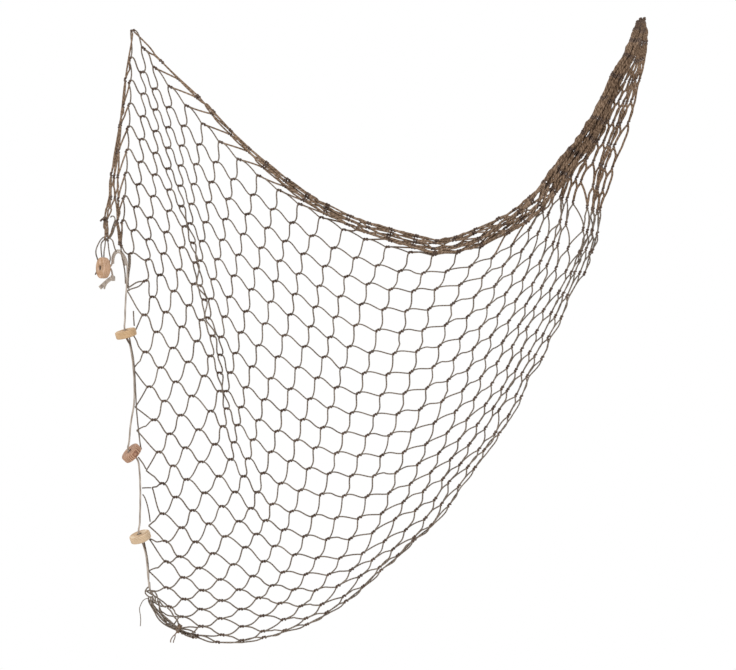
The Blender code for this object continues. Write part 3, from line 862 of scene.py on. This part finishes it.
def turned_float(name, right, up, off_wall, to_right, turned_out):
    """A disc with rounded rims and a countersunk bore, spun round the line."""
    bm = bmesh.new()
    half = float_profile()
    outline = half + [(radius, -height) for radius, height in half[-2:0:-1]]
    verts = [bm.verts.new((radius * MM, 0, height * MM)) for radius, height in outline]
    edges = [bm.edges.new(pair) for pair in zip(verts, verts[1:] + verts[:1])]
    bmesh.ops.spin(bm, geom=verts + edges, cent=(0, 0, 0), axis=(0, 0, 1), angle=math.tau,
                   steps=FLOAT_SEGMENTS, use_merge=True)
    bmesh.ops.remove_doubles(bm, verts=bm.verts, dist=0.01 * MM)
    rough = OLD_RIM_ROUGH if name == "float_3" else RIM_ROUGH
    for vert in bm.verts:
        outwards = Vector((vert.co.x, vert.co.y, 0))
        if outwards.length > 0.8 * FLOAT_RADIUS * MM:
            ridge = noise.noise(Vector((vert.co.x / MM * 0.5, vert.co.y / MM * 0.5, 7)))
            vert.co += outwards.normalized() * ridge * rough * MM
    bmesh.ops.rotate(bm, verts=bm.verts, cent=(0, 0, 0),
                     matrix=float_turn(to_right, turned_out).to_matrix())
    bmesh.ops.translate(bm, verts=bm.verts, vec=place(right, up, off_wall))
    bmesh.ops.recalc_face_normals(bm, faces=bm.faces)
    mesh = bpy.data.meshes.new("wood_" + name)
    bm.to_mesh(mesh)
    bm.free()
    mesh.shade_smooth()
    mesh.set_sharp_from_angle(angle=math.radians(40))
    return add_object("wood_" + name, mesh)


# %% [markdown]
# ## Wood
#
# The pale floats are turned poplar, sanded and left bare: a matt cream wood with thin straight
# grain. Float 3 is an older piece of pine, greyed brown with dark grain ridges. The grain lines
# are 2 to 3 mm apart, which is just wide enough to show.

# %% Wood
BANDS_TO_SCALE = 0.314  # the bands' scale times the distance between two of them, in m


def turned_wood(name, light, middle, dark, row, grain_turn, grain_gap):
    """Bare turned wood in a float's own frame, with the grain along the frame's X."""
    material, tree, shader = new_material(name)
    where = add(tree, "TexCoord").outputs["Object"]
    upright = float_turn(*row[4:]).to_matrix()

    def own_frame(turn):
        return add(tree, "Mapping", {"Vector": where, "Location": place(*row[1:4]),
                                     "Rotation": turn.to_euler()}, vector_type='TEXTURE').outputs[0]

    own = own_frame(upright @ Matrix.Rotation(math.radians(grain_turn), 3, 'Y'))
    drift = add(tree, "TexNoise", {"Vector": own, "Scale": 45, "Detail": 2})
    bent = add(tree, "Mix", {"Factor": 0.006, 6: own, 7: drift.outputs["Color"]}, data_type='RGBA')
    bands = add(tree, "TexWave", {"Vector": bent.outputs[2], "Scale": BANDS_TO_SCALE / (grain_gap * MM),
                                  "Distortion": 1.6, "Detail": 2, "Detail Scale": 1.4},
                wave_type='BANDS', bands_direction='Z')
    long = add(tree, "Mapping", {"Vector": own, "Scale": (0.12, 1, 1)})
    fibre = add(tree, "TexNoise", {"Vector": long.outputs[0], "Scale": 900, "Detail": 3})
    stain = add(tree, "TexNoise", {"Vector": own, "Scale": 70, "Detail": 3})
    grain = combine(tree, 'MULTIPLY', bands.outputs["Fac"], fibre.outputs["Fac"])
    patch = add(tree, "MapRange", {"Value": stain.outputs["Fac"], "From Min": 0.3, "From Max": 0.75,
                                   "To Min": 1.06, "To Max": 0.8})
    # Painted shade: the wood is darkened inside the bore and round its mouths
    level = add(tree, "VectorMath", {0: own_frame(upright), 1: (1, 1, 0)}, operation='MULTIPLY')
    radius = add(tree, "VectorMath", {0: level.outputs[0]}, operation='LENGTH')
    bore = add(tree, "MapRange", {"Value": radius.outputs["Value"], "From Min": 4.2 * MM,
                                  "From Max": 6.4 * MM, "To Min": 0.28, "To Max": 1.0})
    stain_and_bore_shade = combine(tree, 'MULTIPLY', patch.outputs[0], bore.outputs[0])
    stained = colour_ramp(tree, grain, (0, light), (0.32, middle), (0.75, dark))
    colour = add(tree, "VectorMath", {0: stained, "Scale": stain_and_bore_shade}, operation='SCALE')
    rough = add(tree, "MapRange", {"Value": fibre.outputs["Fac"], "To Min": 0.5, "To Max": 0.75})
    bump = add(tree, "Bump", {"Height": grain, "Strength": 0.5, "Distance": 0.25 * MM})
    set_inputs(shader, {"Base Color": colour.outputs[0], "Roughness": rough.outputs[0],
                        "Normal": bump.outputs[0]})
    return material


# Columns: light, middle, dark, degrees from the disc's face to the grain, mm between grain lines
WOODS = [
    ("#CFAC94", "#BC9672", "#9A6C49", 0, 3.2),
    ("#D2B48E", "#C6A074", "#A3784B", 0, 2.6),
    ("#D2AE90", "#A27258", "#5A3726", 90, 2.2),
    ("#DEC8AB", "#CFB08C", "#AE8B66", 0, 2.8),
]
floats = []
for row, (light, middle, dark, grain_turn, grain_gap) in zip(FLOATS, WOODS):
    piece = turned_float(*row)
    name = "pine_aged" if row[0] == "float_3" else "poplar_sanded_" + row[0][-1]
    piece.data.materials.append(turned_wood(name, light, middle, dark, row, grain_turn, grain_gap))
    floats.append(piece)
print("floats:", ", ".join(piece.name for piece in floats))

# %% [markdown]
# ## The end of the tail
#
# The gathered left edge ends above the first float. Its cut strands fan out and pass behind the
# float, and one of them comes out below it as a short end.

# %% Traced strands
# Strands that leave the netting's lattice. Columns: photo x, photo y, mm off the wall
TAIL_STRANDS = [
    [(107, 238, 24), (104.9, 237.8, 26), (101.5, 241.5, 27), (97.7, 249.1, 24), (96.9, 254.5, 18),
     (98.2, 260, 12), (98.6, 266, 9), (97.6, 270.6, 13), (96.1, 274.8, 17)],
    [(107, 239, 23), (104.5, 241.3, 26), (102.6, 244.4, 26), (102.2, 250.1, 21), (102.4, 256.4, 14),
     (103, 263, 7)],
    [(107.5, 240, 24), (106.8, 242.1, 27), (106.5, 246.3, 27), (105.3, 251, 22), (104.4, 257.4, 13),
     (104, 264, 6)],
    [(108.5, 240.5, 22), (109.5, 243.5, 25), (109.9, 248.2, 24), (110.3, 253, 20), (110.7, 258.6, 12),
     (109, 265, 6)],
    [(109, 239.5, 25), (111.5, 239, 26), (113.5, 240.4, 26), (114.7, 243, 27), (115.6, 246.5, 28),
     (117, 250.7, 28.5), (117.8, 252.4, 26)],
    [(111, 238.5, 24), (112.3, 236.8, 24), (114.9, 231.5, 24), (116, 224.5, 25), (116.2, 219, 24),
     (114, 216.3, 23), (111.5, 217.8, 22)],
    [(110.5, 238, 23), (111.8, 235.5, 22), (113, 230, 22), (115, 224, 22), (116.2, 220.5, 22)],
    [(121.4, 245.3, 24), (122.3, 248.7, 25), (122.6, 251.5, 27), (123.4, 257.6, 27), (124.6, 263, 26),
     (125.8, 270.2, 24), (126.4, 277, 24), (126.6, 284, 23)],
]
# The cut end that stands out at the left of the tail
CUT_END = [(108.5, 217.8, 24), (105.5, 219, 26), (103.5, 220, 26), (101.8, 221.8, 25)]
# Second strands beside the float line, where the selvedge's loops run along it
LINE_SIDE_STRANDS = [
    [(131.3, 254.5, 23), (131.6, 259, 24), (131.4, 266, 25), (130.3, 273, 25), (129.4, 281, 24),
     (129.7, 288, 22), (130.2, 291, 20)],
    [(131, 255, 21), (130.3, 262, 22), (130.2, 270, 22), (129.6, 277, 22), (128.4, 284, 22)],
    [(134.3, 311, 20), (134.6, 318, 20), (135.1, 326, 19)],
    [(127.6, 338, 27), (129.3, 341.5, 27), (131.6, 345.2, 26), (133.6, 352, 25), (135, 366, 25)],
    [(130.8, 337.5, 27), (131.6, 341, 28), (132.4, 346, 27), (134.6, 358, 25), (135.9, 372, 25),
     (136.9, 392, 25), (137.9, 412, 24), (139.6, 430, 23), (141.2, 444, 21), (142.3, 449, 20)],
    [(139.2, 456.5, 22), (141.5, 459.5, 23), (144.3, 463.5, 22), (146.8, 468.5, 20)],
    [(143.2, 487.3, 24), (147, 487.1, 22), (152, 487.2, 20)],
    [(143.8, 493.5, 25), (146, 497, 24), (148.3, 504.5, 22), (149.9, 513, 20), (151, 521, 20)],
    [(145.3, 541, 24), (147, 549, 24), (148.9, 560, 24), (149.7, 572, 23), (149.7, 583, 22)],
]
CORNER_STRANDS = [
    [(149.2, 596.5, 19), (149.6, 600.3, 20), (151.5, 604.1, 21), (155.7, 611, 22), (158, 615.6, 22),
     (161.8, 620.2, 22), (167.5, 624.4, 21), (176.7, 629, 19), (181, 631, 18), (187, 634.6, 16),
     (192.5, 636.6, 14), (200, 636.8, 13)],
    [(151.5, 596.5, 23), (152.6, 601.1, 24), (156.4, 608, 25), (159.5, 612.6, 25), (166.8, 621.4, 24),
     (173.3, 625.2, 23), (177.5, 627.1, 22), (183, 629.6, 19), (189, 632.3, 16), (196, 633.7, 14)],
    [(153.4, 597.6, 21), (154.9, 605.7, 22), (161, 611.4, 22), (167.9, 618.7, 22), (173.3, 623.3, 22),
     (178, 626, 21), (183, 627.8, 19), (189.3, 629, 16), (196, 632, 14)],
    [(159.5, 600.3, 22), (160.3, 604.1, 23), (161, 609.9, 24), (166.4, 615.6, 25), (171.4, 619.8, 25),
     (177.1, 624.8, 24), (182.6, 626.6, 21), (190.5, 626, 17), (198, 627, 14)],
    [(158.8, 600.5, 20), (161.4, 609.5, 18), (164.1, 611.8, 17), (168.3, 614.5, 17), (175.2, 615.6, 17),
     (181.8, 616.6, 16)],
    [(151, 600, 16), (153.5, 606, 16), (158.8, 614, 17), (164, 620, 17), (170.5, 625, 17),
     (177, 628.4, 17), (184, 631.4, 15)],
    [(167.9, 606.6, 18), (171.7, 610.3, 19), (174.8, 615.6, 20), (178.2, 619.4, 21), (179.4, 624, 22)],
    [(159.9, 599.5, 20), (162, 602.4, 21), (164.5, 605.4, 20), (167, 606.2, 18)],
    [(150.8, 585.5, 23), (148.4, 586.5, 24), (146.1, 590.7, 24), (147.6, 593.5, 24), (149.5, 595.3, 23),
     (151.6, 596.2, 22)],
]
# The loop that the float line ends in, and a loose thread beside it
CORNER_LOOP = [(150.6, 581, 23), (151, 587, 24), (152.2, 592, 26), (154.6, 589.6, 28), (157.4, 592.2, 28),
               (159, 597.4, 27), (158.4, 600.8, 26), (155.4, 599, 26), (153.3, 594.5, 26)]
CORNER_LOOP_2 = [(151.8, 590, 26), (154, 592.5, 28), (156.2, 595.5, 28.5), (156.9, 599.3, 27),
                 (154.6, 597.8, 27), (152.5, 595.6, 25), (150.6, 595.8, 23)]
LOOSE_THREAD = [(149, 597.2, 21), (147.5, 597.3, 23), (144.2, 599.2, 24), (141.2, 604.9, 23),
                (140.5, 608.5, 22), (141.3, 614.9, 20), (141.5, 619.4, 19), (141.1, 625.2, 18)]


# Columns: runs, radius in mm, material, roundness
TRACED = {
    "netting_tail_end": (TAIL_STRANDS, 0.92 * TWINE_RADIUS, brown_twine, 1),
    # The cut end is drawn in the knots' darker copy of the twine, which is painted shade
    "netting_cut_end": ([CUT_END], 1.4 * TWINE_RADIUS, painted_shade_twine, 1),
    "netting_beside_line": (LINE_SIDE_STRANDS, 0.92 * TWINE_RADIUS, brown_twine, 1),
    "netting_corner": (CORNER_STRANDS, TWINE_RADIUS, brown_twine, 1),
    "float_line_loop": ([CORNER_LOOP, CORNER_LOOP_2], 0.8 * LINE_RADIUS, brown_twine, 2),
    "netting_loose_thread": ([LOOSE_THREAD], 0.9, brown_twine, 2),
}


def traced(points, spacing=4):
    """A smooth run through photo points, in mm."""
    rows = [np.array((*from_photo(x, y), off_wall)) for x, y, off_wall in points]
    return smooth_rows(rows, max(6, round(run_length(rows) / spacing)))


traced_pieces = {}
for name, (runs, radius, material, roundness) in TRACED.items():
    traced_pieces[name] = strands(name, [traced(run) for run in runs], radius, material, roundness)
corner_loop = traced_pieces.pop("float_line_loop")

# %% [markdown]
# ## The lashing
#
# Where the foot corner is gathered, a piece of thinner twine is wound round it four times and
# knotted, and its two ends hang free.

# %% Lashing
LASHING_AT = (98, -1252, 17)  # mm right, up and off the wall
LASHING_TURN = -35  # degrees that the gather runs below level here
LASHING_HIGH, LASHING_DEEP = 7.2, 6.5
WINDS = 4
WIND_STEPS = 14
WIND_PITCH = 2.3  # mm from turn to turn
LASHING_RADIUS = 1.15
LASHING_KNOT_AT, LASHING_KNOT_SIZE = (96, -1259, 23), 4.5
LASHING_TAILS = [
    [(178.6, 629.5, 24), (177.5, 631.3, 25), (173.7, 635.1, 26), (171.7, 638.6, 23), (171.4, 641, 21)],
    [(178, 630.5, 23), (176.3, 632.5, 25), (176, 635.9, 25), (174.8, 638.6, 22), (174, 641.4, 19)],
]
wound = []
for step in range(WINDS * WIND_STEPS + 1):
    angle = math.tau * step / WIND_STEPS
    along = (step / WIND_STEPS - WINDS / 2) * WIND_PITCH
    flat = turned(np.array((along, LASHING_HIGH * math.sin(angle), LASHING_DEEP * math.cos(angle))),
                  LASHING_TURN)
    wound.append(np.array(LASHING_AT) + flat)
lashing_runs = [wound] + [traced(run, 3) for run in LASHING_TAILS]
lashing_runs.append(stopper(LASHING_KNOT_AT, LASHING_KNOT_SIZE))
corner_lashing = strands("corner_binding", lashing_runs, LASHING_RADIUS, gathered_twine, resolution=2)

# %% [markdown]
# ## What each piece stands for
#
# The netting's pieces all stand for the one netting solid, because it is one piece of netting.

# %% Bodies and solids
STANDS_FOR = {
    "netting": ("twine", [netting_open, netting_swag, netting_bundle, netting_knots,
                          *traced_pieces.values()]),
    "float_line": ("line", [float_line, line_stub, corner_loop]),
    "corner_lashing": ("twine", [corner_lashing]),
}
for row, piece in zip(FLOATS, floats):
    STANDS_FOR[row[0]] = ("brown_wood" if row[0] == "float_3" else "pale_wood", [piece])
for node, (slot, pieces) in STANDS_FOR.items():
    for piece in pieces:
        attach(piece, "root")
        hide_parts(node)

# %% Floor, light and sky
FLOOR_DOWN = 1.62  # m below the hanging points
FLOOR_CORNERS = [(-1.1, -1.0), (2.1, -1.0), (2.1, 1.2), (-1.1, 1.2)]  # m
KEY_AT, KEY_AIM = (-1.2, -2.2, 1.2), (0.5, 0, -0.6)
KEY_WIDE, KEY_HIGH = 1.6, 1.2
KEY_ENERGY = 14

plaster, _, plaster_shader = new_material("floor_pale_matt")
set_inputs(plaster_shader, {"Base Color": linear("#EFEDE9"), "Roughness": 0.9})
floor_mesh = bpy.data.meshes.new("floor")
floor_mesh.from_pydata([(*corner, -FLOOR_DOWN) for corner in FLOOR_CORNERS], [], [(0, 1, 2, 3)])
floor_mesh.materials.append(plaster)
floor = add_object("floor", floor_mesh)

world = bpy.data.worlds.new("studio")
world.use_nodes = True
set_inputs(world.node_tree.nodes["Background"], {"Color": (1, 1, 1, 1), "Strength": 1.0})
bpy.context.scene.world = world
bpy.context.scene.view_settings.view_transform = 'Standard'

# A large soft light above and left of the camera
key = bpy.data.lights.new("key", 'AREA')
key.shape = 'RECTANGLE'
key.size, key.size_y = KEY_WIDE, KEY_HIGH
key.energy = KEY_ENERGY
key_light = add_object("key", key)
key_light.location = KEY_AT
key_light.rotation_euler = (Vector(KEY_AIM) - Vector(KEY_AT)).to_track_quat('-Z', 'Y').to_euler()
